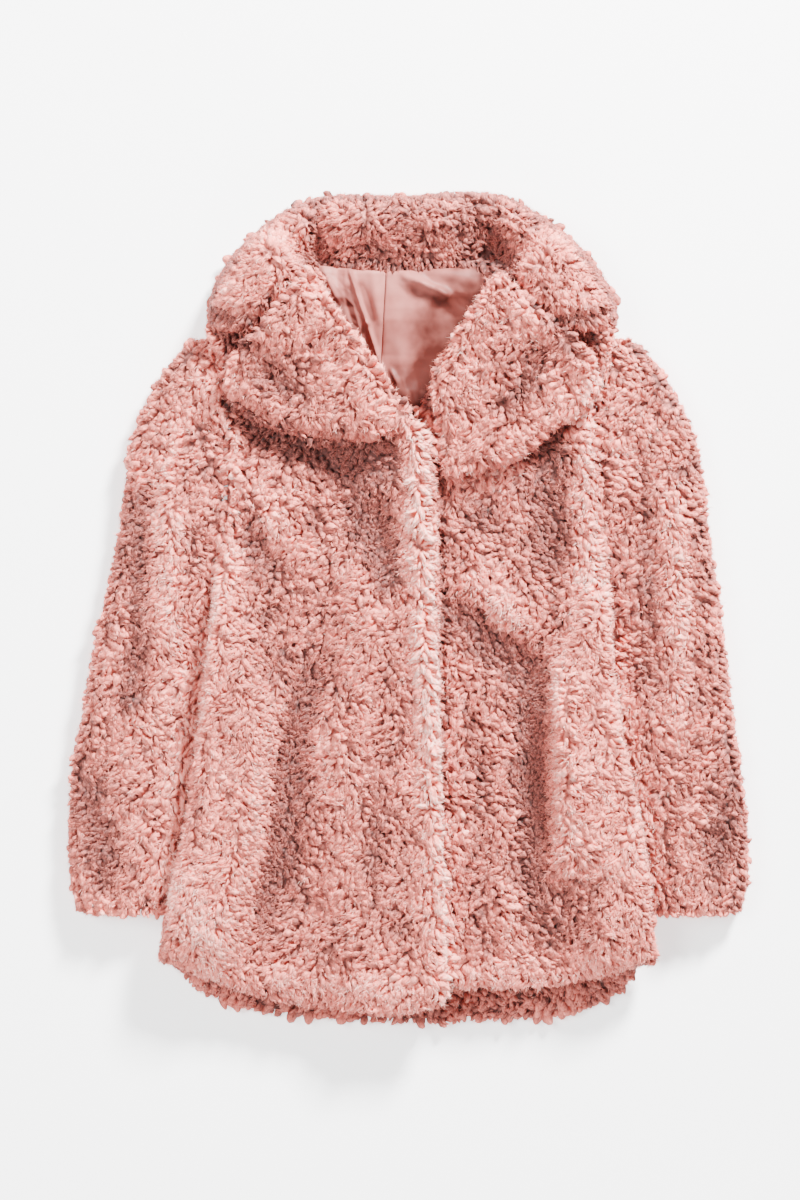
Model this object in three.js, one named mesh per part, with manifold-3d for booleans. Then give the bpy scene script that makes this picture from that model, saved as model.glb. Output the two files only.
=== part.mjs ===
// A short faux fur coat with a notched collar, laid flat on its back, in millimetres.
// X runs across the coat, Y from the hem towards the collar and Z up from the surface it lies on.
// The wearer's right side has negative X. A wall is the fur cloth with its pile, and two layers
// that are sewn together or rest on each other keep SEAM_GAP between them.
import * as THREE from "three";
import { mergeVertices } from "three/addons/utils/BufferGeometryUtils.js";
import Module from "manifold-3d";

const wasm = await Module();
wasm.setup();

// Walls
const FRONT_WALL = 14;
const BACK_WALL = 11;
const SLEEVE_TOP_WALL = 12;
const SLEEVE_UNDER_WALL = 10;
const LAPEL_WALL = 18;
const COLLAR_WALL = 16;
const LINING_WALL = 1.5;
const SEAM_GAP = 0.3;
const ARMHOLE_GAP = 0.8;
const SHORTEST_EDGE = 0.1; // of the collar once its parts are joined
const EDGE_SHARE = 0.22; // of a wall's thickness that is left at a free edge
const EDGE_STEPS = [0, 3, 8]; // from a free edge to where the pile has rounded up
const EDGE_ROUND = 14;

// The rolled sides, where a front wall meets a back wall
const BODY_ROLL = 16; // outer radius
const SLEEVE_ROLL = 14;
const TUCKED_ROLL = 11.5; // of the sleeve's pressed inner side, under the body
const ROLL_STEPS = 3;

// Where the sleeves leave the body
const UNDERARM_TOP = 60;
const UNDERARM_END = -20;
const TUCK = 40; // the sleeve's width that lies under the body
const TUCK_END = -120;
const DRAPE = 45; // the body's slope from the sleeve down to the surface
const CUFF = -306;
const SLEEVE_HEAD = 266;
const HEM_DROP = -400; // where the body's sides are down on the surface again

// The front's overlap and the collar's fall under the back
const OVERLAP_EDGE = -25; // the hidden edge of the left front
const OVERLAP_DRAPE = 50;
const FALL_EDGE = 312; // the fall's lower edge at the centre back
const FALL_SAG = 40; // how much lower it is at the shoulders
const FALL_WALL = 12.3;
const FALL_DRAPE = 62; // the back's slope from the fall down to the surface
const SHOULDER = 200;

// How full the coat lies
const BODY_PUFF = 5;
const SLEEVE_PUFF = 7;
const LAPEL_REST = { right: 0.4, left: 1.2 }; // how far a lapel clears the front's hollows

// Half widths along the coat, for the wearer's right and left: the body's sides and armholes,
// then the sleeves
const SIDES = [
  { y: -356, right: 249, left: 249, rightSleeve: 318, leftSleeve: 324 },
  { y: -333, right: 243, left: 244, rightSleeve: 324, leftSleeve: 330 },
  { y: -306, right: 241, left: 243, rightSleeve: 331, leftSleeve: 335 },
  { y: -283, right: 237, left: 241, rightSleeve: 337, leftSleeve: 341 },
  { y: -223, right: 222, left: 233, rightSleeve: 340, leftSleeve: 340 },
  { y: -153, right: 212, left: 218, rightSleeve: 335, leftSleeve: 332 },
  { y: -93, right: 205, left: 206, rightSleeve: 323, leftSleeve: 323 },
  { y: -43, right: 199, left: 203, rightSleeve: 315, leftSleeve: 318 },
  { y: 7, right: 194, left: 200, rightSleeve: 303, leftSleeve: 312 },
  { y: 57, right: 189, left: 198, rightSleeve: 292, leftSleeve: 304 },
  { y: 107, right: 184, left: 193, rightSleeve: 284, leftSleeve: 297 },
  { y: 157, right: 183, left: 192, rightSleeve: 279, leftSleeve: 293 },
  { y: 207, right: 180, left: 192, rightSleeve: 261, leftSleeve: 271 },
  { y: 245, right: 186, left: 196, rightSleeve: 239, leftSleeve: 250 },
  { y: 277, right: 200, left: 205, rightSleeve: 209, leftSleeve: 216 },
];

// Hems, shoulders and neck, each from the wearer's right to their left
const BACK_HEM = [
  [-249, -356], [-234, -372], [-224, -386], [-201, -397], [-153, -408], [-105, -412], [-58, -415],
  [0, -419], [70, -416], [142, -413], [173, -409], [213, -397], [229, -386], [240, -372], [249, -356],
];
const RIGHT_HEM = [
  [-249, -356], [-236, -363], [-192, -378], [-153, -389], [-96, -397], [-29, -402], [18, -399], [36, -391],
];
const LEFT_HEM = [
  [OVERLAP_EDGE, -374], [38, -376], [110, -380], [142, -378], [189, -371], [229, -364], [249, -356],
];
const BACK_TOP = [
  [-200, 277], [-150, 309], [-97, 344], [-60, 341], [0, 336], [55, 341], [91, 344], [150, 309], [205, 277],
];
const RIGHT_TOP = [
  [-200, 277], [-150, 309], [-103, 341], [-84, 300], [-54, 257], [-19, 207], [2, 183], [30, 163],
];
const LEFT_TOP = [
  [OVERLAP_EDGE, 160], [8, 188], [32, 228], [50, 257], [79, 304], [98, 341], [150, 309], [205, 277],
];
const CENTRE_EDGE = [
  [36, -391], [31, -200], [28, -40], [29, 43], [26, 105], [28, 145], [30, 163],
];

// Lapels: the roll line and the outer edge from the gorge down, and the gorge and lower edge outwards
const RIGHT_LAPEL = {
  start: [[-99, 333], [-78, 300], [-48, 259], [-13, 209], [3, 189]],
  end: [[-159, 267], [-171, 252], [-178, 234], [-178, 215], [-168, 201]],
  bottom: [[-99, 333], [-125, 302], [-159, 267]],
  top: [[3, 189], [-10, 177], [-40, 172], [-72, 164], [-110, 172], [-140, 182], [-168, 201]],
};
const LEFT_LAPEL = {
  start: [[91, 330], [71, 302], [43, 259], [24, 227], [34, 176], [32, 130]],
  end: [[163, 269], [177, 256], [186, 238], [187, 215], [169, 193]],
  bottom: [[91, 330], [122, 302], [163, 269]],
  top: [[32, 130], [70, 139], [97, 146], [118, 157], [142, 178], [169, 193]],
};

// The collar runs from one notch round the back to the other, from the neck seam out to its outline
const COLLAR = {
  start: [[-156, 277], [-178, 278], [-200, 283]],
  end: [[160, 277], [184, 278], [209, 283]],
  bottom: [
    [-156, 277], [-128, 306], [-103, 337], [-60, 343], [0, 338.5], [55, 343], [101, 337],
    [124, 306], [160, 277],
  ],
  top: [
    [-200, 283], [-200, 305], [-190, 332], [-172, 358], [-141, 386], [-104, 407], [-60, 414], [0, 413],
    [60, 416], [100, 412], [143, 387], [177, 358], [199, 328], [209, 303], [209, 283],
  ],
};
const COLLAR_FALL = {
  start: [[-104, 406], [-141, 385], [-172, 357], [-189, 332], [-199, 305], [-199, 280]],
  end: [[100, 411], [142, 386], [176, 357], [198, 328], [208, 303], [208, 280]],
  bottom: [[-104, 406], [-60, 413], [0, 412], [60, 415], [100, 411]],
  top: [[-199, 280], [-110, 300], [0, 310], [110, 300], [208, 280]],
};
const WING_HEIGHT = 19; // of a wing's top above the shoulder it lies on
const STAND_LOW = 27;
const STAND_HIGH = 47;
const COLLAR_UNDER = 8; // of the upper side's solid, inside the fall
const RIM_LEVEL = 20; // of the upper side at its outline
const RIM_UNDER = 7; // of the lower side there
const RIM_ROUND = 32;
const UNDER_ROUND = 20;
const NECK_ROUND = 16;

// The lining's two halves, sewn at the centre back seam
const LINING_RIGHT = {
  start: [[-95, 340], [-91, 302], [-62, 261], [-46, 228]],
  end: [[-22.3, 336], [-28.3, 228]],
  bottom: [[-95, 340], [-60, 337], [-22.3, 336]],
  top: [[-46, 228], [-28.3, 228]],
};
const LINING_LEFT = {
  start: [[-21.7, 336], [-27.7, 228], [-29, 182]],
  end: [[89, 340], [80, 302], [54, 257], [12, 182]],
  bottom: [[-21.7, 336], [30, 337], [89, 340]],
  top: [[-29, 182], [12, 182]],
};

// Soft folds: a ridge (or a trough, where height is negative) from one point to another
const FRONT_EDGE_FOLDS = [
  { x0: 7, y0: 160, x1: 17, y1: -59, width: 11, height: 5 },
  { x0: 17, y0: -65, x1: 24, y1: -380, width: 11, height: 5 },
];
const BODY_FOLDS = [
  { x0: -38, y0: 122, x1: -36, y1: 34, width: 18, height: -5 },
  { x0: 158, y0: -36, x1: 153, y1: -310, width: 17, height: 9 },
  { x0: 66, y0: 26, x1: 160, y1: -34, width: 20, height: 7 },
  { x0: 138, y0: 170, x1: 146, y1: 60, width: 22, height: -5 },
  { x0: 84, y0: 108, x1: 78, y1: 60, width: 20, height: -4 },
  { x0: 122, y0: -60, x1: 128, y1: -230, width: 18, height: -6 },
  { x0: -158, y0: 132, x1: -104, y1: 76, width: 18, height: 7 },
  { x0: -88, y0: -50, x1: -128, y1: -150, width: 24, height: -5 },
  { x0: -130, y0: -160, x1: -128, y1: -300, width: 24, height: -6 },
  { x0: -168, y0: -40, x1: -172, y1: -290, width: 20, height: 5 },
  { x0: -66, y0: -120, x1: -70, y1: -330, width: 22, height: 5 },
];
const SLEEVE_FOLDS = [
  { x0: 244, y0: 205, x1: 214, y1: 130, width: 13, height: -5 },
  { x0: 258, y0: -60, x1: 300, y1: -78, width: 12, height: -3 },
  { x0: 262, y0: -150, x1: 275, y1: -230, width: 16, height: -3 },
  { x0: 268, y0: 90, x1: 262, y1: -20, width: 20, height: 3 },
];
const LAPEL_FOLDS = [
  { x0: -128, y0: 262, x1: -96, y1: 214, width: 14, height: -5 },
  { x0: 138, y0: 258, x1: 116, y1: 200, width: 15, height: -5 },
  { x0: -152, y0: 214, x1: -66, y1: 184, width: 13, height: 3 },
];
const LINING_FOLDS = [
  { x0: -64, y0: 338, x1: -36, y1: 215, width: 5, height: 6 },
  { x0: -82, y0: 334, x1: -66, y1: 312, width: 7, height: 5 },
  { x0: 6, y0: 325, x1: 46, y1: 308, width: 6, height: 5 },
  { x0: -14, y0: 232, x1: 14, y1: 205, width: 9, height: 3 },
];

const FUR = new THREE.MeshStandardMaterial({ color: 0xd69e94, roughness: 0.95, metalness: 0 });
const SATIN = new THREE.MeshStandardMaterial({ color: 0xd3a69e, roughness: 0.45, metalness: 0 });

// Small maths
const mix = (a, b, t) => a + (b - a) * t;
const clamp01 = (t) => Math.min(1, Math.max(0, t));
const soft = (t) => clamp01(t) ** 2 * (3 - 2 * clamp01(t));
const quarterRound = (t) => Math.sqrt(1 - (1 - clamp01(t)) ** 2);

function readSides(column, y) {
  const last = SIDES.length - 2;
  const found = SIDES.findIndex((row) => row.y > y) - 1;
  const i = Math.min(last, Math.max(0, y >= SIDES[last + 1].y ? last : found));
  const at = (k) => SIDES[Math.min(last + 1, Math.max(0, k))];
  const span = at(i + 1).y - at(i).y;
  const t = clamp01((y - at(i).y) / span);
  const slope = (k) => (at(k + 1)[column] - at(k - 1)[column]) / (at(k + 1).y - at(k - 1).y) * span;
  return (
    at(i)[column] * (2 * t ** 3 - 3 * t ** 2 + 1) + slope(i) * (t ** 3 - 2 * t ** 2 + t) +
    at(i + 1)[column] * (3 * t ** 2 - 2 * t ** 3) + slope(i + 1) * (t ** 3 - t ** 2)
  );
}

function foldsAt(folds, x, y) {
  let sum = 0;
  for (const f of folds) {
    const dx = f.x1 - f.x0;
    const dy = f.y1 - f.y0;
    const t = clamp01(((x - f.x0) * dx + (y - f.y0) * dy) / (dx * dx + dy * dy));
    const away = Math.hypot(x - f.x0 - t * dx, y - f.y0 - t * dy);
    sum += f.height * Math.exp(-((away / f.width) ** 2));
  }
  return sum;
}

// How each layer lies
const sideName = (x) => (x < 0 ? "right" : "left");
const bodyEdge = (x, y) => readSides(sideName(x), y);
const underarm = (y) => soft((UNDERARM_TOP - y) / (UNDERARM_TOP - UNDERARM_END));
const tuckAt = (y) => TUCK * soft((UNDERARM_END - y) / (UNDERARM_END - TUCK_END));
const sleeveInner = (side, y) => readSides(side, y) + ARMHOLE_GAP * (2 - underarm(y)) - tuckAt(y);

const SLEEVE_SEAM = TUCKED_ROLL * 2 - (SLEEVE_UNDER_WALL + SLEEVE_TOP_WALL) / 2 + SEAM_GAP;
const SLEEVE_LIFT = SLEEVE_SEAM + (SLEEVE_UNDER_WALL + SLEEVE_TOP_WALL) / 2 + 2 * SEAM_GAP;
const FULL_SEAM = SLEEVE_ROLL * 2 - (SLEEVE_UNDER_WALL + SLEEVE_TOP_WALL) / 2 + SEAM_GAP;
const BODY_SEAM = BODY_ROLL * 2 - (BACK_WALL + FRONT_WALL) / 2 + SEAM_GAP;

function backMid(x, y) {
  const over = Math.abs(x) - (bodyEdge(x, y) - tuckAt(y));
  const cuffEnd = soft((y - HEM_DROP) / (CUFF - 14 - HEM_DROP));
  const sleeve = SLEEVE_LIFT * soft((over + DRAPE + 10) / DRAPE) * underarm(y) * cuffEnd;
  const fallEdge = FALL_EDGE - FALL_SAG * (x / SHOULDER) ** 2;
  const fall = (FALL_WALL + 2 * SEAM_GAP) * soft((y - fallEdge + FALL_DRAPE + 8) / FALL_DRAPE);
  return BACK_WALL / 2 + sleeve + fall;
}

function frontMid(x, y) {
  const across = Math.min(1, Math.abs(x) / (bodyEdge(x, y) - BODY_ROLL));
  const inside = 1 - across ** 4;
  return backMid(x, y) + BODY_SEAM + inside * (BODY_PUFF + foldsAt(BODY_FOLDS, x, y));
}

const overlapLift = (x) =>
  (FRONT_WALL + SEAM_GAP) * soft((x - OVERLAP_EDGE + OVERLAP_DRAPE + 12) / OVERLAP_DRAPE);
const rightFrontMid = (x, y) => frontMid(x, y) + overlapLift(x) + foldsAt(FRONT_EDGE_FOLDS, x, y);

const sleeveUnderMid = () => SLEEVE_UNDER_WALL / 2;

function sleeveTopMid(x, y) {
  const side = sideName(x);
  const inner = sleeveInner(side, y);
  const outer = readSides(`${side}Sleeve`, y);
  const shown = inner + tuckAt(y);
  const t = clamp01((Math.abs(x) - shown) / (outer - SLEEVE_ROLL - shown));
  const atArmhole = BODY_SEAM + BACK_WALL / 2 - SLEEVE_UNDER_WALL / 2;
  const pressed = mix(atArmhole, SLEEVE_SEAM, underarm(y));
  const seam = mix(pressed, FULL_SEAM, soft(t / 0.45));
  const full = Math.sin(Math.PI * t) ** 2 * SLEEVE_PUFF;
  const folds = foldsAt(SLEEVE_FOLDS, Math.abs(x), y) * soft((1 - t) / 0.3) * soft(t / 0.2);
  return SLEEVE_UNDER_WALL / 2 + seam + full + folds;
}

// Solids
const curveOf = (points) =>
  new THREE.CatmullRomCurve3(points.map(([x, y]) => new THREE.Vector3(x, y, 0)), false, "centripetal");

// A patch between four edges: start and end run along v, bottom and top run along u
function patchOf(edges) {
  const [start, end, bottom, top] = [edges.start, edges.end, edges.bottom, edges.top].map(curveOf);
  return (u, v) => {
    const [s, e] = [start.getPointAt(v), end.getPointAt(v)];
    const [b, t] = [bottom.getPointAt(u), top.getPointAt(u)];
    const [sb, st, eb, et] = [start, end].flatMap((curve) => [curve.getPointAt(0), curve.getPointAt(1)]);
    const blend = (k) =>
      mix(s[k], e[k], u) + mix(b[k], t[k], v) - mix(mix(sb[k], eb[k], u), mix(st[k], et[k], u), v);
    return { x: blend("x"), y: blend("y") };
  };
}

// Fractions from 0 to 1, closer together at an edge where the pile rounds off
function stations(length, cells, freeStart, freeEnd) {
  const start = freeStart ? EDGE_STEPS.map((d) => d / length) : [];
  const end = freeEnd ? EDGE_STEPS.map((d) => 1 - d / length).reverse() : [];
  const from = freeStart ? EDGE_ROUND / length : 0;
  const to = freeEnd ? 1 - EDGE_ROUND / length : 1;
  const inner = Array.from({ length: cells + 1 }, (_, i) => mix(from, to, i / cells));
  return [...start, ...inner, ...end];
}

// Rows of a body panel: closer together at the hem and towards the shoulders, where it bends most
function bodyRows(v) {
  if (v < 0.2) return v * 0.75;
  return v < 0.6 ? 0.15 + (v - 0.2) * 1.575 : 0.78 + (v - 0.6) * 0.55;
}

function edgeShare(index, count, freeStart, freeEnd) {
  const fromStart = freeStart ? EDGE_STEPS[index] ?? EDGE_ROUND : EDGE_ROUND;
  const fromEnd = freeEnd ? EDGE_STEPS[count - 1 - index] ?? EDGE_ROUND : EDGE_ROUND;
  return mix(EDGE_SHARE, 1, quarterRound(Math.min(fromStart, fromEnd) / EDGE_ROUND));
}

// Closes two grids of points, one above the other, into a solid
function closedGrid(upper, lower) {
  const columns = upper.length;
  const rows = upper[0].length;
  const points = [...upper.flat(), ...lower.flat()];
  const up = (i, j) => i * rows + j;
  const down = (i, j) => columns * rows + i * rows + j;
  const faces = [];
  const quad = (a, b, c, d) => faces.push(a, b, c, a, c, d);
  for (let i = 0; i + 1 < columns; i++) {
    for (let j = 0; j + 1 < rows; j++) {
      quad(up(i, j), up(i + 1, j), up(i + 1, j + 1), up(i, j + 1));
      quad(down(i, j), down(i, j + 1), down(i + 1, j + 1), down(i + 1, j));
    }
    quad(down(i, 0), down(i + 1, 0), up(i + 1, 0), up(i, 0));
    quad(down(i + 1, rows - 1), down(i, rows - 1), up(i, rows - 1), up(i + 1, rows - 1));
  }
  for (let j = 0; j + 1 < rows; j++) {
    quad(down(0, j + 1), down(0, j), up(0, j), up(0, j + 1));
    quad(down(columns - 1, j), down(columns - 1, j + 1), up(columns - 1, j + 1), up(columns - 1, j));
  }
  const at = (k) => new THREE.Vector3(points[k].x, points[k].y, points[k].z);
  let volume = 0;
  for (let k = 0; k < faces.length; k += 3) {
    volume += at(faces[k]).dot(at(faces[k + 1]).cross(at(faces[k + 2])));
  }
  if (volume < 0) {
    for (let k = 0; k < faces.length; k += 3) [faces[k + 1], faces[k + 2]] = [faces[k + 2], faces[k + 1]];
  }
  const geometry = new THREE.BufferGeometry();
  const numbers = points.flatMap((p) => [p.x, p.y, p.z]);
  geometry.setAttribute("position", new THREE.Float32BufferAttribute(numbers, 3));
  geometry.setIndex(faces);
  geometry.computeVertexNormals();
  return geometry;
}

// A wall of cloth over a patch. mid gives the height of its middle, and turn is 1 where its sides roll
// down and -1 where they roll up. A roll is { radius, angle(y) }, and the patch's side is its outermost line.
function clothWall(spec) {
  const { edges, cells, size, wall, mid, startRoll, endRoll } = spec;
  const { turn = 1, free = {}, fullness = () => 1, rows = (v) => v } = spec;
  const patch = patchOf(edges);
  const us = stations(size[0], cells[0], free.start, free.end);
  const vs = stations(size[1], cells[1], free.bottom, free.top).map(rows);
  const upper = [];
  const lower = [];
  const addColumn = (points) => {
    upper.push(points.map((p) => p.upper));
    lower.push(points.map((p) => p.lower));
  };
  const roll = (v, at, towards, side, step) => {
    const edge = patch(at, v);
    const inward = Math.sign(patch(towards, v).x - edge.x);
    const neutral = side.radius - wall / 2;
    const length = (neutral * Math.PI) / 2;
    const angle = Math.max(1e-3, (side.angle(edge.y) * Math.PI) / 2);
    const bend = length / angle;
    const flatX = edge.x + inward * (bend + wall / 2) * Math.sin(angle);
    const turned = (angle * step) / ROLL_STEPS;
    return { y: edge.y, flatX, inward, bend, turned };
  };
  const half = (i, j) => {
    const across = edgeShare(i, us.length, free.start, free.end);
    const along = edgeShare(j, vs.length, free.bottom, free.top);
    return (wall / 2) * Math.min(across, along) * fullness(us[i], vs[j]);
  };
  const rolledColumn = (at, towards, side, step, i) =>
    addColumn(vs.map((v, j) => {
      const r = roll(v, at, towards, side, step);
      const level = mid(r.flatX, r.y);
      const point = (out) => ({
        x: r.flatX - r.inward * (r.bend + out * turn) * Math.sin(r.turned),
        y: r.y,
        z: level - turn * r.bend + turn * (r.bend + out * turn) * Math.cos(r.turned),
      });
      return { upper: point(half(i, j)), lower: point(-half(i, j)) };
    }));
  if (startRoll) {
    for (let step = ROLL_STEPS; step > 0; step--) rolledColumn(0, 0.5, startRoll, step, 0);
  }
  us.forEach((u, i) =>
    addColumn(vs.map((v, j) => {
      const from = startRoll ? roll(v, 0, 0.5, startRoll, 0).flatX - patch(0, v).x : 0;
      const to = endRoll ? roll(v, 1, 0.5, endRoll, 0).flatX - patch(1, v).x : 0;
      const p = patch(u, v);
      const x = p.x + from * (1 - u) + to * u;
      const level = mid(x, p.y);
      return {
        upper: { x, y: p.y, z: level + half(i, j) },
        lower: { x, y: p.y, z: level - half(i, j) },
      };
    })));
  if (endRoll) {
    const last = us.length - 1;
    for (let step = 1; step <= ROLL_STEPS; step++) rolledColumn(1, 0.5, endRoll, step, last);
  }
  return closedGrid(upper, lower);
}

// A solid between two heights over a patch
function between(edges, cells, lowerZ, upperZ) {
  const patch = patchOf(edges);
  const grid = (height) =>
    Array.from({ length: cells[0] + 1 }, (_, i) =>
      Array.from({ length: cells[1] + 1 }, (_, j) => {
        const p = patch(i / cells[0], j / cells[1]);
        return { x: p.x, y: p.y, z: height(p.x, p.y, i / cells[0], j / cells[1]) };
      }));
  return closedGrid(grid(upperZ), grid(lowerZ));
}

function solidFrom(geometry) {
  const bare = geometry.clone();
  for (const name of ["normal", "uv"]) bare.deleteAttribute(name);
  const merged = mergeVertices(bare, 1e-3);
  return new wasm.Manifold(new wasm.Mesh({
    numProp: 3,
    vertProperties: merged.attributes.position.array,
    triVerts: new Uint32Array(merged.index.array),
  }));
}

function geometryFrom(solid) {
  const mesh = solid.getMesh();
  const geometry = new THREE.BufferGeometry();
  geometry.setAttribute("position", new THREE.BufferAttribute(new Float32Array(mesh.vertProperties), 3));
  geometry.setIndex(new THREE.BufferAttribute(new Uint32Array(mesh.triVerts), 1));
  geometry.computeVertexNormals();
  return geometry;
}

// Pieces
const outlineSide = (side, from, to, count, edge = (y) => readSides(side, y)) =>
  Array.from({ length: count + 1 }, (_, i) => {
    const y = mix(from, to, i / count);
    return [(side === "right" ? -1 : 1) * edge(y), y];
  });
const HEM_CORNER = SIDES[0].y;
const SHOULDER_POINT = SIDES[SIDES.length - 1].y;
const bodySide = (side) => outlineSide(side, HEM_CORNER, SHOULDER_POINT, 16);
const bodyRoll = { radius: BODY_ROLL, angle: underarm };

function backPanel() {
  return clothWall({
    edges: { start: bodySide("right"), end: bodySide("left"), bottom: BACK_HEM, top: BACK_TOP },
    cells: [14, 21], size: [440, 475], rows: bodyRows, wall: BACK_WALL, mid: backMid, turn: -1,
    startRoll: bodyRoll, endRoll: bodyRoll, free: { bottom: true },
  });
}

function rightFront() {
  return clothWall({
    edges: { start: bodySide("right"), end: CENTRE_EDGE, bottom: RIGHT_HEM, top: RIGHT_TOP },
    cells: [13, 21], size: [240, 475], rows: bodyRows, wall: FRONT_WALL, mid: rightFrontMid,
    startRoll: bodyRoll, free: { bottom: true, end: true },
  });
}

function leftFront() {
  const hiddenEdge = [LEFT_HEM[0], [OVERLAP_EDGE, -100], LEFT_TOP[0]];
  return clothWall({
    edges: { start: hiddenEdge, end: bodySide("left"), bottom: LEFT_HEM, top: LEFT_TOP },
    cells: [12, 21], size: [240, 475], rows: bodyRows, wall: FRONT_WALL, mid: frontMid,
    endRoll: bodyRoll, free: { bottom: true, start: true },
  });
}

function sleeveWall(side, top) {
  const inner = outlineSide(side, CUFF, SLEEVE_HEAD, 16, (y) => sleeveInner(side, y));
  const outer = outlineSide(side, CUFF, SLEEVE_HEAD, 16, (y) => readSides(`${side}Sleeve`, y));
  const tuckedRadius = { radius: TUCKED_ROLL, angle: underarm };
  return clothWall({
    edges: {
      start: outer, end: inner,
      bottom: [outer[0], inner[0]], top: [outer[outer.length - 1], inner[inner.length - 1]],
    },
    cells: [6, 15], size: [130, 575], wall: top ? SLEEVE_TOP_WALL : SLEEVE_UNDER_WALL,
    mid: top ? sleeveTopMid : sleeveUnderMid, turn: top ? 1 : -1,
    startRoll: { radius: SLEEVE_ROLL, angle: () => 1 }, endRoll: tuckedRadius, free: { bottom: true },
  });
}

function lapel(edges, frontHeight, rest) {
  const thickness = (v) => mix(1, 0.5, soft((v - 0.45) / 0.55));
  const patchWall = (x, y) => frontHeight(x, y) + FRONT_WALL / 2 + 3 * SEAM_GAP + LAPEL_WALL / 2;
  return clothWall({
    edges, cells: [6, 7], size: [90, 150], wall: LAPEL_WALL,
    mid: (x, y) => patchWall(x, y) + rest + Math.max(0, foldsAt(LAPEL_FOLDS, x, y)),
    free: { start: true, end: true, top: true }, fullness: (u, v) => thickness(v * (1 - u)),
  });
}

// The collar is one rounded solid: its fall lies under the back, its wings lie on the shoulders
function collar() {
  const frontTop = (x, y) => frontMid(x, y) + FRONT_WALL / 2 + SEAM_GAP;
  const upperSide = (x, y, u, v) => {
    const onWing = soft((Math.abs(u - 0.5) - 0.25) / 0.06);
    const width = mix(75, 62, onWing);
    const toEnd = (0.5 - Math.abs(u - 0.5)) * 530;
    const stand = mix(STAND_LOW, STAND_HIGH, soft(v / 0.75));
    const resting = frontTop(x, Math.min(y, 300)) + WING_HEIGHT;
    const edge = Math.min(quarterRound((v * width) / NECK_ROUND), quarterRound(toEnd / EDGE_ROUND));
    const wing = resting - COLLAR_WALL * 0.7 * (1 - edge);
    const rim = quarterRound(((1 - v) * width) / RIM_ROUND);
    return mix(RIM_LEVEL, mix(stand, wing, onWing), rim);
  };
  const upper = between(COLLAR, [30, 9], () => COLLAR_UNDER, upperSide);
  const fallUnder = (x, y, u, v) => {
    const away = Math.min(Math.min(u, 1 - u) * 330, v * 105);
    return RIM_UNDER * (1 - quarterRound(away / UNDER_ROUND));
  };
  const fallTop = (x, y, u, v) => FALL_WALL - 3 * (1 - quarterRound(((1 - v) * 105) / EDGE_ROUND));
  const fall = between(COLLAR_FALL, [16, 8], fallUnder, fallTop);
  const clearTop = BACK_TOP.map(([x, y]) => [x, y + 1.2]);
  const shoulders = between(
    {
      start: [[-230, 230], [-230, 278]], end: [[235, 230], [235, 278]],
      bottom: [[-230, 230], [0, 230], [235, 230]],
      top: [[-230, 278], ...clearTop, [235, 278]],
    },
    [30, 8],
    (x, y) => backMid(x, y) - BACK_WALL / 2 - 3 * SEAM_GAP,
    (x, y) => frontTop(x, y),
  );
  const bodies = solidFrom(upper).add(solidFrom(fall)).subtract(solidFrom(shoulders)).decompose();
  const outer = bodies.reduce((a, b) => (b.volume() > a.volume() ? b : a));
  return geometryFrom(outer.simplify(SHORTEST_EDGE));
}

function lining(edges) {
  const rest = BACK_WALL / 2 + 3 * SEAM_GAP + LINING_WALL / 2;
  return clothWall({
    edges, cells: [9, 13], size: [80, 130], wall: LINING_WALL,
    mid: (x, y) => backMid(x, y) + rest + Math.max(0, foldsAt(LINING_FOLDS, x, y)),
  });
}

const coat = new THREE.Group();

function add(name, geometry, material) {
  const mesh = new THREE.Mesh(geometry, material);
  mesh.name = name;
  coat.add(mesh);
}

add("back", backPanel(), FUR);
add("front_right", rightFront(), FUR);
add("front_left", leftFront(), FUR);
for (const side of ["right", "left"]) {
  add(`sleeve_${side}_top`, sleeveWall(side, true), FUR);
  add(`sleeve_${side}_under`, sleeveWall(side, false), FUR);
}
add("lapel_right", lapel(RIGHT_LAPEL, rightFrontMid, LAPEL_REST.right), FUR);
add("lapel_left", lapel(LEFT_LAPEL, frontMid, LAPEL_REST.left), FUR);
add("collar", collar(), FUR);
add("lining_right", lining(LINING_RIGHT), SATIN);
add("lining_left", lining(LINING_LEFT), SATIN);

// The origin is the middle of the coat's underside
const bounds = new THREE.Box3().setFromObject(coat);
const middle = bounds.getCenter(new THREE.Vector3());
for (const mesh of coat.children) mesh.geometry.translate(-middle.x, -middle.y, -bounds.min.z);

export default coat;
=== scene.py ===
"""Dresses the faux fur coat with a backing and curly locks on each cut piece, and a satin lining."""
import math

import bmesh
import bpy
import numpy as np
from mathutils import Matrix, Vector
from mathutils.bvhtree import BVHTree
from mathutils.kdtree import KDTree


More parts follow.
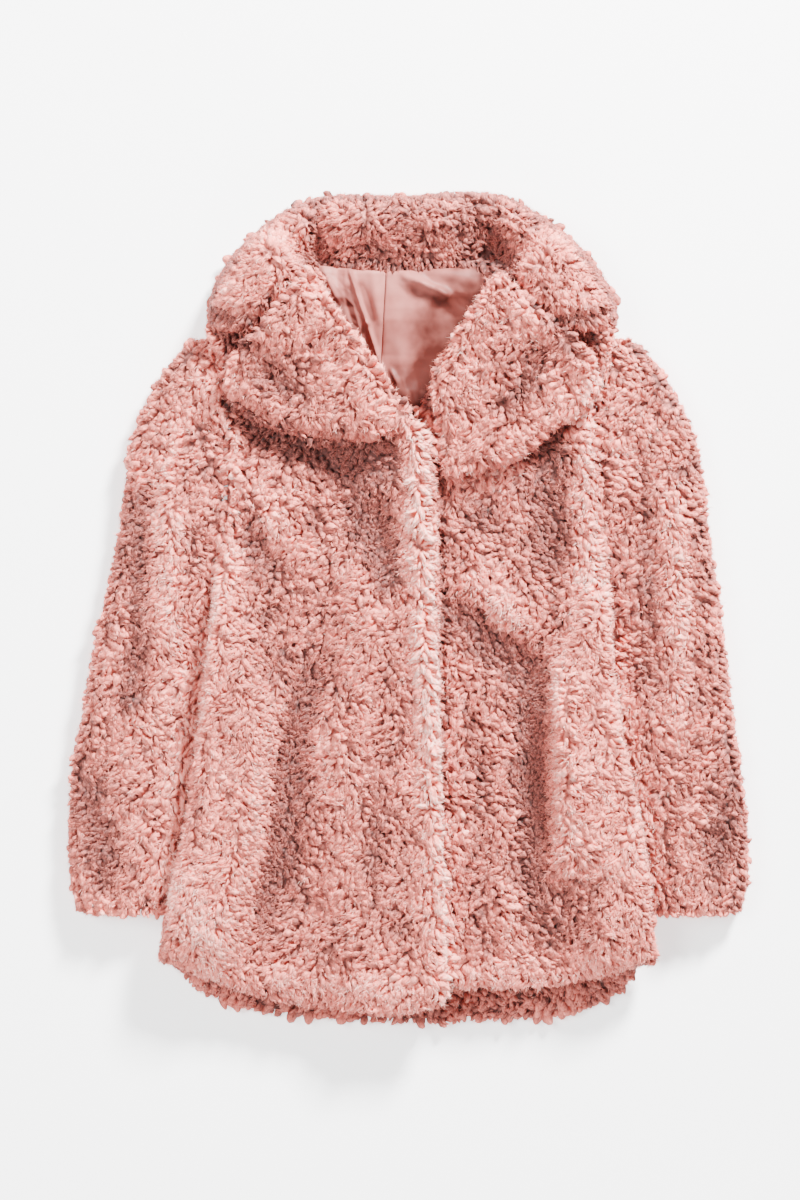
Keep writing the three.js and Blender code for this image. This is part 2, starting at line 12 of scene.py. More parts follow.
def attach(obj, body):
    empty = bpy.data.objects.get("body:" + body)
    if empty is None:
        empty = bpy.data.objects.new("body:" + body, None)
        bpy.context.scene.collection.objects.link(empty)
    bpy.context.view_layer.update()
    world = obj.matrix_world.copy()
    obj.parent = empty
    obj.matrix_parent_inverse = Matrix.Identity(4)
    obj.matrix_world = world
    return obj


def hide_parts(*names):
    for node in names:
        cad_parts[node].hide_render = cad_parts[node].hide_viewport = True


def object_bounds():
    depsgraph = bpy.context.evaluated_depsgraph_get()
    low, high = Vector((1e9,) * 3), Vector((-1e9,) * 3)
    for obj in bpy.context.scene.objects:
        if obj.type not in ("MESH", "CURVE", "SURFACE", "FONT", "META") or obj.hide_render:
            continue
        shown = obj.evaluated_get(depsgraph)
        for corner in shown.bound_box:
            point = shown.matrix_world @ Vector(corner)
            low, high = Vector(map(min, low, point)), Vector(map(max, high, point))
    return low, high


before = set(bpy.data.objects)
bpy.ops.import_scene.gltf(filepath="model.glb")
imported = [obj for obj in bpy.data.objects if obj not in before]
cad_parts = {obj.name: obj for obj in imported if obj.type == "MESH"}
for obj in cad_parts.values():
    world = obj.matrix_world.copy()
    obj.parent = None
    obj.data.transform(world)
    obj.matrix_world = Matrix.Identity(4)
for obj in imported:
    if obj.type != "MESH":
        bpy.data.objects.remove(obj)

CAD_BOX = [list(corner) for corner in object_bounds()]
MM = 0.001

# The camera looks straight down and sees a millimetre as a pixel of an 800 x 1200 picture
CAMERA_X = -8.9 * MM
CAMERA_Y = 8.5 * MM
CAMERA_LEVEL = 36 * MM
LENS_MM = 85
SENSOR_MM = 36
VIEW_HEIGHT = 1.2

# Pile
PILE = 4.2 * MM  # between the backing and the skin that the locks' backs make
PILE_SHARE = 0.27  # of a wall's thickness, where it is thinner
LOCK_SPACING = 4.2 * MM
UNDERSIDE_SPACING = 8.0 * MM
LOCK_LENGTH = 8.6 * MM
LOCK_WIDTH = 7.9 * MM
INSIDE_DEPTH = 42 * MM  # a skin point that faces a layer this close is inside the coat
UPWARD = 0.15  # a normal this far up belongs to a point that may show from above
CANDIDATES = 9  # sample points for each lock that may stay
PACKING = 0.7  # locks on a square as wide as their spacing
RING_AT = [0.0, 0.34, 0.7, 0.93]
PETAL_WIDTH = [0.5, 0.98, 0.95, 0.52]
TUFT_WIDTH = [0.9, 1.0, 0.62, 0.24]
RING_SIDES = 3
WISPS = 7  # loose fibres for each lock
WISP_LENGTH = 5.2 * MM
WISP_WIDTH = 0.55 * MM
THICKNESS = 0.28  # half a lock's thickness, in its widths
LOCK_ARCH = 1.12  # how far a lock rises, in pile depths, before its tip turns down
ARCH_TURN = 0.6
RUN_CURVE = 1.35  # a lock stands up at its root and lies down towards its tip

# Where a measure starts to count, and over how much more it comes to count in full
UPWARD_SKIN = (0.3, 0.5)  # of a normal's height, for creases pressed into the skin
UPWARD_PILE = (0.1, 0.4)
SIDE_ON = (0.2, 0.5)  # of a normal's slant, for what belongs to an edge
ON_RIDGE = (0.25, 0.5)  # of the relief

# The piece's underside, whose pile is pressed flat
UNDERSIDE = -0.55  # a normal this far down
UNDERSIDE_LEVEL = 9 * MM
UNDERSIDE_PILE = 3 * MM
UNDERSIDE_SIZE = 1.25

# Each lock's own size and rise, at random between two shares, and what changes them
SIZE_RANGE = (0.68, 1.38)
RISE_RANGE = (0.75, 1.45)
CLOSED_SIZE = 0.14
CLOSED_RISE = 0.12
EDGE_RISE = 0.4 * MM
EDGE_CROWDING = 0.12
RIDGE_CROWDING = 0.18
LONGER = {"edge": -0.1, "combed": 0.18, "bridged": 0.25, "neck": 0.6}
WIDER = {"edge": -0.05, "opened": -0.1, "combed": -0.22, "closed": 0.12}
LOCK_ROOT = 0.15  # how deep a lock's root lies, in pile depths
LOCK_SWAY = 1.3 * MM
LOCK_ROLL = 0.35
LOCK_TWIST = 0.7
TWIST_ALONG = 0.6
TAPER = (0.15, 0.2)  # a lock's middling taper and its spread
EDGE_TAPER = 0.1
COMBED_TAPER = 0.15

# A loose fibre's place on its lock, its spread to the side and upwards, and its length
WISP_FROM = (0.3, 0.95)
WISP_ASIDE = 0.35
WISP_SPREAD = 0.75
WISP_LIFT = 0.75
WISP_REACH = (0.6, 1.25)

SWIRL_TURN = 1.5
LITTLE_TURN = 1.1
OWN_TURN = 0.5
OUTWARD_HANG = 0.25
EDGE_COMB = 0.6
CLOSED_SHARE = 0.6
CREASE_RANGE = (-7, 5)  # beyond it a crease paints no more light or shade on the pile
BRIDGE_FULL = 1.6

FIELD_SIDE = 64  # cells of a random field before it repeats
FIELD_SKEW = 0.35
FIELD_CLIMB = 0.6
SWIRL = 27 * MM  # locks that lie this near each other turn much the same way
LITTLE_SWIRL = 11 * MM
PATCH = 31 * MM  # the pile is closed and brushed in some patches and curlier in others
LITTLE_PATCH = 13 * MM

# The coat's relief against its own neighbourhood, which sets how far the pile opens and how much shade is
# painted in its troughs and light on its ridges
GRID_STEP = 3 * MM
RELIEF_BLUR = 8  # grid steps
RELIEF_FULL = 3.6 * MM
RELIEF_RANGE = (-2, 1.3)
TOP_LAYER = 10 * MM  # how far below the coat's surface a point still belongs to it
LAPEL_LOCKS = 1.15  # their size beside the others'
LAPEL_LOFT = 1.8 * MM  # the lapels' pile stands up more than their thin cloth leaves room for
BACK_RELIEF = 0.3  # the back's hem shows below the fronts, in no trough of its own, so it takes less of the painted trough shade
COMB_PULL = 0.5  # how strongly the pile on a ridge lies down its slopes

# How pale a lock is, from 0 to 1: its random tone, with painted shade in troughs and creases and painted
# light on ridges, over gaps and at edges
TONE_MIDDLE = 0.5
TONE_SPREAD = 0.1
# Painted rim light: locks at the edges are paler
EDGE_PAINTED_LIGHT = 0.09
CLOSED_TONE = 0.13
# Painted light on the relief's ridges and painted shade in its troughs, the shade under the lapels among them
RIDGE_PAINTED_LIGHT = 0.13
TROUGH_PAINTED_SHADE = 0.17
TROUGH_SHADE_CURVE = 0.07
RAISED_PAINTED_LIGHT = 0.06  # painted light for each millimetre of a crease's height
# Painted shade for each millimetre of a crease's depth
PRESSED_PAINTED_SHADE = 0.095
# Painted light over bridged gaps and along the front edge's roll
BRIDGED_PAINTED_LIGHT = 0.18
STAND_TONE = -0.02
WISP_TONE = 0.24

COLLAR_CENTRE = np.array([0, 300, 0]) * MM  # its wings' pile grows away from here
NECKLINE = 356 * MM
NECK_FRINGE = 10 * MM  # over which the stand's pile turns down over the neck seam
NECK_HALF = 98 * MM
COLLAR_HANG = 0.9
COLLAR_OUTWARD = 0.6
NECK_HANG = np.array([0, -2, 0])
STAND_TOP = 398 * MM
STAND_BLEND = (12 * MM, 14 * MM)  # over which the stand's tone comes in from its ends and its top

THICKEST_WALL = 0.05
RAY_START = 2e-4  # off the skin, so that a ray doesn't meet the place it leaves
SIGHT_START = 8e-4

# Smaller creases than the solids hold, as ridges or troughs between two points, in millimetres; their heights
# also paint light on the locks of a ridge and shade on the locks of a trough
CREASES = [
    # The shade under the right lapel and the hollow beside the front edge, whose troughs also paint shade on
    # the locks
    {"x0": -177, "y0": 208, "x1": -139, "y1": 178, "width": 10, "height": -7.0},
    {"x0": -139, "y0": 176, "x1": -79, "y1": 161, "width": 14, "height": -8.0},
    {"x0": -79, "y0": 155, "x1": -14, "y1": 145, "width": 17, "height": -8.0},
    {"x0": -60, "y0": 124, "x1": -26, "y1": 50, "width": 18, "height": -8.0},
    {"x0": -28, "y0": 98, "x1": -20, "y1": 34, "width": 14, "height": -7.0},
    # The wearer's right front
    {"x0": -156, "y0": 116, "x1": -122, "y1": 66, "width": 13, "height": 4.0},
    {"x0": -168, "y0": 82, "x1": -138, "y1": 52, "width": 17, "height": -5.5},
    {"x0": -96, "y0": 66, "x1": -42, "y1": 22, "width": 11, "height": 2.5},
    {"x0": -99, "y0": -76, "x1": -118, "y1": -158, "width": 16, "height": -4.5},
    {"x0": -119, "y0": -162, "x1": -122, "y1": -230, "width": 18, "height": -4.5},
    {"x0": -125, "y0": -234, "x1": -146, "y1": -300, "width": 14, "height": -4.0},
    {"x0": -176, "y0": -40, "x1": -182, "y1": -190, "width": 15, "height": -1.2},
    {"x0": -218, "y0": -276, "x1": -190, "y1": -358, "width": 24, "height": 4.4},
    {"x0": -82, "y0": -60, "x1": -70, "y1": -190, "width": 11, "height": 1.8},
    {"x0": -38, "y0": -150, "x1": -34, "y1": -290, "width": 10, "height": -2.4},
    {"x0": -74, "y0": -316, "x1": -34, "y1": -352, "width": 8, "height": -1.8},
    {"x0": -148, "y0": -364, "x1": -16, "y1": -372, "width": 15, "height": 2.4},
    {"x0": -208, "y0": -150, "x1": -214, "y1": -262, "width": 7, "height": -2.2},
    # The front edge's roll
    {"x0": 5, "y0": 188, "x1": 14, "y1": 10, "width": 7, "height": 5.0},
    {"x0": 14, "y0": 4, "x1": 25, "y1": -190, "width": 7, "height": 5.0},
    {"x0": 25, "y0": -196, "x1": 35, "y1": -384, "width": 7, "height": 5.0},
    # The wearer's left front, with the long hollow that turns down from the front edge
    {"x0": 42, "y0": 4, "x1": 80, "y1": -32, "width": 17, "height": -6.5},
    {"x0": 82, "y0": -34, "x1": 122, "y1": -68, "width": 19, "height": -8.0},
    {"x0": 120, "y0": -72, "x1": 121, "y1": -160, "width": 20, "height": -7.0},
    {"x0": 122, "y0": -164, "x1": 120, "y1": -262, "width": 16, "height": -6.0},
    {"x0": 122, "y0": -266, "x1": 139, "y1": -318, "width": 14, "height": -3.4},
    {"x0": 61, "y0": 30, "x1": 136, "y1": -26, "width": 12, "height": 5.0},
    {"x0": 152, "y0": -40, "x1": 156, "y1": -262, "width": 8, "height": 4.5},
    {"x0": 184, "y0": -250, "x1": 177, "y1": -332, "width": 7, "height": -3.8},
    {"x0": 155, "y0": -266, "x1": 158, "y1": -332, "width": 7, "height": -4.4},
    {"x0": 138, "y0": 152, "x1": 142, "y1": 54, "width": 20, "height": -8.5},
    {"x0": 172, "y0": 240, "x1": 181, "y1": 20, "width": 10, "height": 5.4},
    {"x0": 44, "y0": 122, "x1": 92, "y1": 80, "width": 16, "height": -3.0},
    {"x0": 66, "y0": -112, "x1": 76, "y1": -232, "width": 11, "height": -2.4},
    {"x0": 98, "y0": -280, "x1": 102, "y1": -352, "width": 11, "height": 2.2},
    # The armholes and the sleeves
    {"x0": -194, "y0": 212, "x1": -174, "y1": 172, "width": 10, "height": 5.0},
    {"x0": -174, "y0": 168, "x1": -184, "y1": 20, "width": 10, "height": 4.2},
    {"x0": -188, "y0": 16, "x1": -202, "y1": -110, "width": 9, "height": 3.0},
    {"x0": -264, "y0": 112, "x1": -276, "y1": -98, "width": 13, "height": -4.6},
    {"x0": -238, "y0": 212, "x1": -236, "y1": -36, "width": 10, "height": 3.0},
    {"x0": -318, "y0": -170, "x1": -306, "y1": -262, "width": 19, "height": -5.0},
    {"x0": -292, "y0": -92, "x1": -250, "y1": -72, "width": 9, "height": -2.2},
    {"x0": -300, "y0": -202, "x1": -262, "y1": -218, "width": 9, "height": 2.2},
    {"x0": 199, "y0": 2, "x1": 207, "y1": -122, "width": 8, "height": 2.4},
    {"x0": 204, "y0": 208, "x1": 216, "y1": 128, "width": 14, "height": 3.0},
    {"x0": 238, "y0": 152, "x1": 246, "y1": -88, "width": 13, "height": -4.6},
    {"x0": 268, "y0": 112, "x1": 272, "y1": -108, "width": 9, "height": 2.6},
    {"x0": 316, "y0": -176, "x1": 308, "y1": -264, "width": 19, "height": -5.0},
    {"x0": 304, "y0": -132, "x1": 262, "y1": -150, "width": 9, "height": -2.2},
    {"x0": -290, "y0": -130, "x1": -282, "y1": -280, "width": 34, "height": -1.5},
    {"x0": 288, "y0": -110, "x1": 284, "y1": -280, "width": 34, "height": -1.5},
    # The collar: where its wings roll out of the stand, its wings' lower edges and the notches
    {"x0": -91, "y0": 404, "x1": -89, "y1": 346, "width": 7, "height": -9.0},
    {"x0": 58, "y0": 402, "x1": 82, "y1": 346, "width": 21, "height": -9.0},
    {"x0": 82, "y0": 396, "x1": 92, "y1": 338, "width": 9, "height": -8.0},
    {"x0": -72, "y0": 380, "x1": 44, "y1": 380, "width": 20, "height": -1.6},
    {"x0": -20, "y0": 398, "x1": 6, "y1": 372, "width": 12, "height": -2.0},
    {"x0": -92, "y0": 404, "x1": 56, "y1": 406, "width": 12, "height": -1.2},
    {"x0": -194, "y0": 295, "x1": -146, "y1": 291, "width": 6, "height": -7.0},
    {"x0": 151, "y0": 292, "x1": 196, "y1": 295, "width": 6, "height": -7.0},
    {"x0": -172, "y0": 273, "x1": -162, "y1": 262, "width": 8, "height": -9.0},
    {"x0": 167, "y0": 273, "x1": 177, "y1": 262, "width": 8, "height": -9.0},
    # The lapels
    {"x0": -150, "y0": 256, "x1": -122, "y1": 212, "width": 16, "height": -3.6},
    {"x0": -84, "y0": 240, "x1": -56, "y1": 206, "width": 10, "height": 2.0},
    {"x0": 151, "y0": 268, "x1": 98, "y1": 206, "width": 13, "height": -4.4},
    {"x0": 70, "y0": 262, "x1": 54, "y1": 196, "width": 9, "height": 2.0},
]

# Gaps that the pile grows across with longer locks, painted lighter as well, a painted light against the
# shade that falls in them
BRIDGES = [
    {"x0": -198, "y0": 40, "x1": -254, "y1": -302, "width": 13, "height": 1.6},
    {"x0": 196, "y0": 40, "x1": 256, "y1": -302, "width": 13, "height": 1.3},
    {"x0": 42, "y0": 116, "x1": 50, "y1": -390, "width": 10, "height": 1.0},
    {"x0": -212, "y0": 274, "x1": -188, "y1": 204, "width": 13, "height": 1.2},
    {"x0": 34, "y0": 122, "x1": 112, "y1": 142, "width": 15, "height": 1.3},
    {"x0": 114, "y0": 144, "x1": 170, "y1": 180, "width": 12, "height": 0.6},
    {"x0": 174, "y0": 186, "x1": 208, "y1": 270, "width": 13, "height": 1.3},
    # The front edge's roll, where the pile is longer and painted palest, a painted highlight along the roll
    {"x0": 5, "y0": 188, "x1": 14, "y1": 10, "width": 7, "height": 1.7},
    {"x0": 14, "y0": 2, "x1": 25, "y1": -190, "width": 7, "height": 1.7},
    {"x0": 25, "y0": -198, "x1": 36, "y1": -384, "width": 7, "height": 1.7},
    {"x0": 14, "y0": 204, "x1": 30, "y1": 168, "width": 10, "height": 1.6},
]

# The lining's folds are sharper: a pinch runs down from the neck on the wearer's right
LINING_CREASES = [
    {"x0": -60, "y0": 341, "x1": -42, "y1": 286, "width": 2.6, "height": 6.5},
    {"x0": -42, "y0": 286, "x1": -27, "y1": 238, "width": 2.6, "height": 5.5},
    {"x0": -62, "y0": 318, "x1": -46, "y1": 262, "width": 4.0, "height": -4.5},
    {"x0": -48, "y0": 322, "x1": -36, "y1": 290, "width": 5.0, "height": -3.6},
    {"x0": -38, "y0": 338, "x1": -30, "y1": 290, "width": 5.0, "height": 2.5},
    {"x0": -86, "y0": 338, "x1": -74, "y1": 312, "width": 4.0, "height": 4.5},
    {"x0": -96, "y0": 326, "x1": -80, "y1": 334, "width": 3.0, "height": -3.0},
    {"x0": -3, "y0": 333, "x1": 38, "y1": 315, "width": 4.2, "height": 4.6},
    {"x0": 2, "y0": 320, "x1": 40, "y1": 302, "width": 8.0, "height": -1.7},
    {"x0": 28, "y0": 338, "x1": 66, "y1": 327, "width": 7.0, "height": 3.4},
    {"x0": 46, "y0": 312, "x1": 66, "y1": 300, "width": 6.0, "height": -2.4},
    {"x0": -18, "y0": 240, "x1": -12, "y1": 228, "width": 2.5, "height": 2.4},
    {"x0": -14, "y0": 288, "x1": -6, "y1": 236, "width": 7.0, "height": 1.2},
    {"x0": -10, "y0": 224, "x1": 4, "y1": 200, "width": 6.0, "height": 1.2},
    {"x0": 12, "y0": 246, "x1": 4, "y1": 214, "width": 6.0, "height": -1.6},
]
CENTRE_SEAM = [(-22.9, 338), (-29.0, 228)]
LINING_TOP = 336 * MM  # from here up it is tucked under the collar's pile
SHADE_EDGE = [(94, 342), (2, 200)]  # a painted shadow of the left lapel darkens the lining along this line, in millimetres
SHADE_REACH = (48, 96)  # how far the painted shadow reaches in, at the line's lower and upper end
LININGS = ("lining_right", "lining_left")
SEAM_WIDTH = 2.2
SEAM_DEPTH = 1.1
LINING_RAISE = 0.9
LINING_DEEPEST = -1.8
TUCK = 3 * MM
TUCK_BLEND = 4 * MM
# Painted shadow of the left lapel on the lining
PAINTED_LAPEL_SHADOW = 1.1
# Painted shade in the lining's fold troughs, full at this depth, and the most painted shade the satin takes
PAINTED_FOLD_SHADE = 0.65
FOLD_SHADE_FULL = 2.5
DARKEST_SHADE = 1.3

# Colours from dark to pale, as a place on a ramp and the usual 0 to 255 numbers
PILE_COLOURS = [
    (0.0, (88, 48, 44)),
    (0.28, (156, 88, 79)),
    (0.55, (221, 118, 104)),
    (0.82, (249, 151, 135)),
    (1.0, (255, 200, 187)),
]
BACKING_COLOURS = [(0.0, (92, 48, 43)), (0.5, (170, 96, 86)), (1.0, (228, 136, 122))]
SATIN_COLOURS = [(0.0, (74, 33, 28)), (0.38, (140, 82, 75)), (0.7, (164, 103, 95))]
WHITE = (1, 1, 1, 1)

# How much the place along a lock, its fibres, the patches and its tone count towards its colour; the place
# along a lock is painted shade, darker towards the root deep in the pile
ROOT_SHADE_SHARE = 0.42
# The fibres' streaks are the strands' own variation and partly a painted sheen along the locks
FIBRE_SHEEN_SHARE = 1.3
PATCH_SHARE = 0.2
TONE_SHARE = 0.7
PILE_DARKNESS = 0.9
STRAND_STRETCH = (7.0, 1.6, 91.0)  # a lock's fibres are thin, long and unlike the next lock's
SHADE_STRENGTH = 0.46

PILE_FINISH = {"Roughness": 0.7, "Specular IOR Level": 0.12, "Sheen Weight": 0.05, "Sheen Roughness": 0.45}
BACKING_FINISH = {"Roughness": 0.9}
SATIN_FINISH = {"Roughness": 0.46, "Specular IOR Level": 0.08, "Sheen Weight": 0.04, "Sheen Roughness": 0.3}
FLOOR_FINISH = {"Base Color": WHITE, "Roughness": 0.8, "Emission Color": WHITE, "Emission Strength": 1.15}

FLOOR_REACH = 6.0
FLOOR_LEVEL = -0.2 * MM
WORLD_STRENGTH = 0.45
LIGHTS = {
    "key": {"place": (1.75, 3.2, 2.0), "size": 0.8, "power": 1420},
    "fill": {"place": (-1.7, 0.4, 2.3), "size": 1.4, "power": 120},
    "low_fill": {"place": (0.5, -2.6, 1.6), "size": 1.2, "power": 60},
}


def cut(width, length, share, tone_and_shade, *rests_on):
    """A cut piece: its flat size in metres, the share of that rectangle it fills, how much paler its pile is
    and what it rests on. Nothing in the script uses its flat size, its share or what it rests on."""
    return {"flat": (width, length), "share": share, "tone_and_shade": tone_and_shade, "rests_on": rests_on}


PIECES = {
    "back": cut(0.62, 0.80, 0.84, 0.0, "floor"),
    "front_right": cut(0.33, 0.76, 0.80, -0.08, "back"),
    "front_left": cut(0.33, 0.76, 0.78, -0.08, "back"),
    "sleeve_right_top": cut(0.18, 0.59, 0.74, 0.0, "sleeve_right_under"),
    "sleeve_right_under": cut(0.18, 0.59, 0.74, 0.0, "floor"),
    "sleeve_left_top": cut(0.18, 0.59, 0.74, 0.0, "sleeve_left_under"),
    "sleeve_left_under": cut(0.18, 0.59, 0.74, 0.0, "floor"),
    "lapel_right": cut(0.19, 0.19, 0.55, -0.16, "front_right"),
    "lapel_left": cut(0.19, 0.22, 0.50, -0.13, "front_left"),
    # The collar's pile is painted darker, a painted shade against the key light that falls strongest on it
    "collar": cut(0.56, 0.14, 0.72, -0.22, "back", "front_right", "front_left"),
}

rng = np.random.default_rng(11)


# Shapes


def soft(t):
    t = np.clip(t, 0, 1)
    return t * t * (3 - 2 * t)


def eased(values, start, blend):
    return soft((values - start) / blend)


def creases_at(creases, x, y):
    """Sum of the creases at points in millimetres."""
    total = np.zeros(len(x))
    for c in creases:
        dx, dy = c["x1"] - c["x0"], c["y1"] - c["y0"]
        t = np.clip(((x - c["x0"]) * dx + (y - c["y0"]) * dy) / (dx * dx + dy * dy), 0, 1)
        away = np.hypot(x - c["x0"] - t * dx, y - c["y0"] - t * dy)
        total += c["height"] * np.exp(-((away / c["width"]) ** 2)) * (0.6 + 0.4 * np.sin(math.pi * t))
    return total


def read_points(mesh):
    points = np.zeros(len(mesh.vertices) * 3)
    mesh.vertices.foreach_get("co", points)
    return points.reshape(-1, 3)


def read_normals(mesh):
    normals = np.zeros(len(mesh.vertices) * 3)
    mesh.vertices.foreach_get("normal", normals)
    return normals.reshape(-1, 3)


def write_points(mesh, points):
    mesh.vertices.foreach_set("co", points.astype(np.float32).ravel())
    mesh.update()


def refined_copy(node, cuts, smoothing=0):
    """The solid's surface, welded and cut finer."""
    bm = bmesh.new()
    bm.from_mesh(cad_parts[node].data)
    bmesh.ops.remove_doubles(bm, verts=bm.verts, dist=1e-5)
    if cuts:
        bmesh.ops.subdivide_edges(bm, edges=bm.edges[:], cuts=cuts, use_grid_fill=True)
    bmesh.ops.triangulate(bm, faces=bm.faces[:])
    for _ in range(smoothing):
        bmesh.ops.smooth_vert(
            bm, verts=bm.verts[:], factor=0.5, use_axis_x=True, use_axis_y=True, use_axis_z=True
        )
    bmesh.ops.recalc_face_normals(bm, faces=bm.faces[:])
    mesh = bpy.data.meshes.new(node + "_skin")
    bm.to_mesh(mesh)
    bm.free()
    mesh.update()
    return mesh


def skin_of(node):
    """What the pile's surface follows: the solid with the smaller creases pressed into its upper side."""
    mesh = refined_copy(node, 2, 1)
    points = read_points(mesh)
    normals = read_normals(mesh)
    upper = eased(normals[:, 2], *UPWARD_SKIN)
    points[:, 2] += creases_at(CREASES, points[:, 0] / MM, points[:, 1] / MM) * MM * upper
    write_points(mesh, points)
    return mesh


def tree_of(mesh):
    return BVHTree.FromPolygons([v.co[:] for v in mesh.vertices], [p.vertices[:] for p in mesh.polygons])


def wall_depths(points, normals, tree):
    """How thick the wall is behind each point."""
    depths = np.full(len(points), THICKEST_WALL)
    for i, (p, n) in enumerate(zip(points, normals)):
        inward = Vector(-n)
        hit = tree.ray_cast(Vector(p) + inward * RAY_START, inward, THICKEST_WALL)
        if hit[0] is not None:
            depths[i] = hit[3] + RAY_START
    return depths


def pile_depths(points, normals, tree):
    return np.minimum(PILE, PILE_SHARE * wall_depths(points, normals, tree))


def mesh_of(name, points, loops, starts):
    mesh = bpy.data.meshes.new(name)
    mesh.vertices.add(len(points))
    mesh.loops.add(len(loops))
    mesh.polygons.add(len(starts))
    mesh.vertices.foreach_set("co", points.astype(np.float32).ravel())
    mesh.loops.foreach_set("vertex_index", loops.astype(np.int32))
    mesh.polygons.foreach_set("loop_start", starts.astype(np.int32))
    return mesh


def smooth_faces(mesh):
    mesh.polygons.foreach_set("use_smooth", np.ones(len(mesh.polygons), bool))


def write_values(mesh, name, values):
    """A number at each point of a mesh, which its material reads by name."""
    mesh.attributes.new(name, "FLOAT", "POINT").data.foreach_set("value", values.astype(np.float32))


def new_piece(name, mesh, *materials):
    obj = bpy.data.objects.new(name, mesh)
    bpy.context.scene.collection.objects.link(obj)
    for material in materials:
        mesh.materials.append(material)
    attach(obj, "root")
    return obj


# Locks


def surface_samples(mesh, spacing):
    """Random points on a mesh with their normals, many more than there are locks."""
    points, normals = read_points(mesh), read_normals(mesh)
    mesh.calc_loop_triangles()
    corners = np.array([t.vertices[:] for t in mesh.loop_triangles])
    a, b, c = (points[corners[:, k]] for k in range(3))
    areas = 0.5 * np.linalg.norm(np.cross(b - a, c - a), axis=1)
    count = int(CANDIDATES * areas.sum() * PACKING / spacing**2)
    chosen = rng.choice(len(areas), count, p=areas / areas.sum())
    u, v = rng.random(count), rng.random(count)
    flip = u + v > 1
    u[flip], v[flip] = 1 - u[flip], 1 - v[flip]
    weights = np.stack([1 - u - v, u, v], 1)
    at = np.einsum("nk,nkj->nj", weights, points[corners[chosen]])
    normal = np.einsum("nk,nkj->nj", weights, normals[corners[chosen]])
    normal /= np.linalg.norm(normal, axis=1, keepdims=True)
    return at, normal


def thinned(at, spacing):
    """Indices of points that keep the spacing between them, first come first served."""
    tree = KDTree(len(at))
    for i, p in enumerate(at):
        tree.insert(p, i)
    tree.balance()
    free = np.ones(len(at), bool)
    kept = []
    for i in range(len(at)):
        if not free[i]:
            continue
        kept.append(i)
        for _, j, _ in tree.find_range(at[i], spacing[i]):
            free[j] = False
    return np.array(kept)


def open_share(at, normal, coat_tree):
    """True where the point sees out of the coat, and not another layer of it."""
    seen = np.ones(len(at), bool)
    for i, (p, n) in enumerate(zip(at, normal)):
        ways = [Vector(n), Vector((0, 0, 1))] if n[2] > UPWARD else [Vector(n)]
        hits = [coat_tree.ray_cast(Vector(p) + way * SIGHT_START, way, INSIDE_DEPTH)[0] for way in ways]
        seen[i] = None in hits
    return seen


def patchy(at, cell, seed):
    """A smooth random field from -1 to 1, in patches of about the cell's size."""
    corner = np.random.default_rng(seed).uniform(-1, 1, (FIELD_SIDE, FIELD_SIDE))
    u = at[:, 0] / cell + FIELD_SKEW * at[:, 1] / cell
    v = at[:, 1] / cell + FIELD_CLIMB * at[:, 2] / cell
    i, j = np.floor(u).astype(int), np.floor(v).astype(int)
    s, t = soft(u - i), soft(v - j)
    left, right = i % FIELD_SIDE, (i + 1) % FIELD_SIDE
    low, high = j % FIELD_SIDE, (j + 1) % FIELD_SIDE
    lower = corner[left, low] * (1 - s) + corner[right, low] * s
    upper = corner[left, high] * (1 - s) + corner[right, high] * s
    return lower * (1 - t) + upper * t


def blurred(values, steps):
    """A grid averaged over its neighbourhood, rows first and then columns."""
    reach = np.arange(-2 * steps, 2 * steps + 1)
    weights = np.exp(-0.5 * (reach / steps) ** 2)
    weights /= weights.sum()
    rows = np.apply_along_axis(np.convolve, 1, values, weights, "same")
    return np.apply_along_axis(np.convolve, 0, rows, weights, "same")


class Relief:
    """How far the coat's upper surface stands above or below what surrounds it."""

    def __init__(self, coat_tree, low, high):
        self.low = low
        columns = int((high[0] - low[0]) / GRID_STEP) + 1
        rows = int((high[1] - low[1]) / GRID_STEP) + 1
        self.height = np.full((columns, rows), -1.0)
        for i in range(columns):
            for j in range(rows):
                start = Vector((low[0] + i * GRID_STEP, low[1] + j * GRID_STEP, 1))
                hit = coat_tree.ray_cast(start, Vector((0, 0, -1)))[0]
                if hit is not None:
                    self.height[i, j] = hit.z
        there = (self.height >= 0).astype(float)
        around = blurred(self.height * there, RELIEF_BLUR) / np.maximum(blurred(there, RELIEF_BLUR), 1e-3)
        self.rise = np.where(there > 0, self.height - around, 0)
        self.rise = blurred(self.rise, 1)
        self.slope = np.stack(np.gradient(blurred(self.rise, 1), GRID_STEP), 2)

    def cells(self, points):
        """The grid cell under each point, and whether the point is on the coat's upper side."""
        i = np.clip(np.rint((points[:, 0] - self.low[0]) / GRID_STEP).astype(int), 0, self.rise.shape[0] - 1)
        j = np.clip(np.rint((points[:, 1] - self.low[1]) / GRID_STEP).astype(int), 0, self.rise.shape[1] - 1)
        return i, j, self.height[i, j] - points[:, 2] < TOP_LAYER

    def at(self, points):
        """Below 0 in a trough, above it on a ridge, and 0 where another layer lies above."""
        i, j, on_top = self.cells(points)
        return np.where(on_top, np.clip(self.rise[i, j] / RELIEF_FULL, *RELIEF_RANGE), 0)

    def downhill(self, points):
        """The way down from a ridge, longer where it is steeper."""
        i, j, on_top = self.cells(points)
        return -self.slope[i, j] * on_top[:, None]


def unit(v):
    return v / np.maximum(np.linalg.norm(v, axis=1, keepdims=True), 1e-9)


def along_skin(ways, normal):
    """The part of each direction that lies in the skin."""
    return ways - normal * np.einsum("ij,ij->i", ways, normal)[:, None]


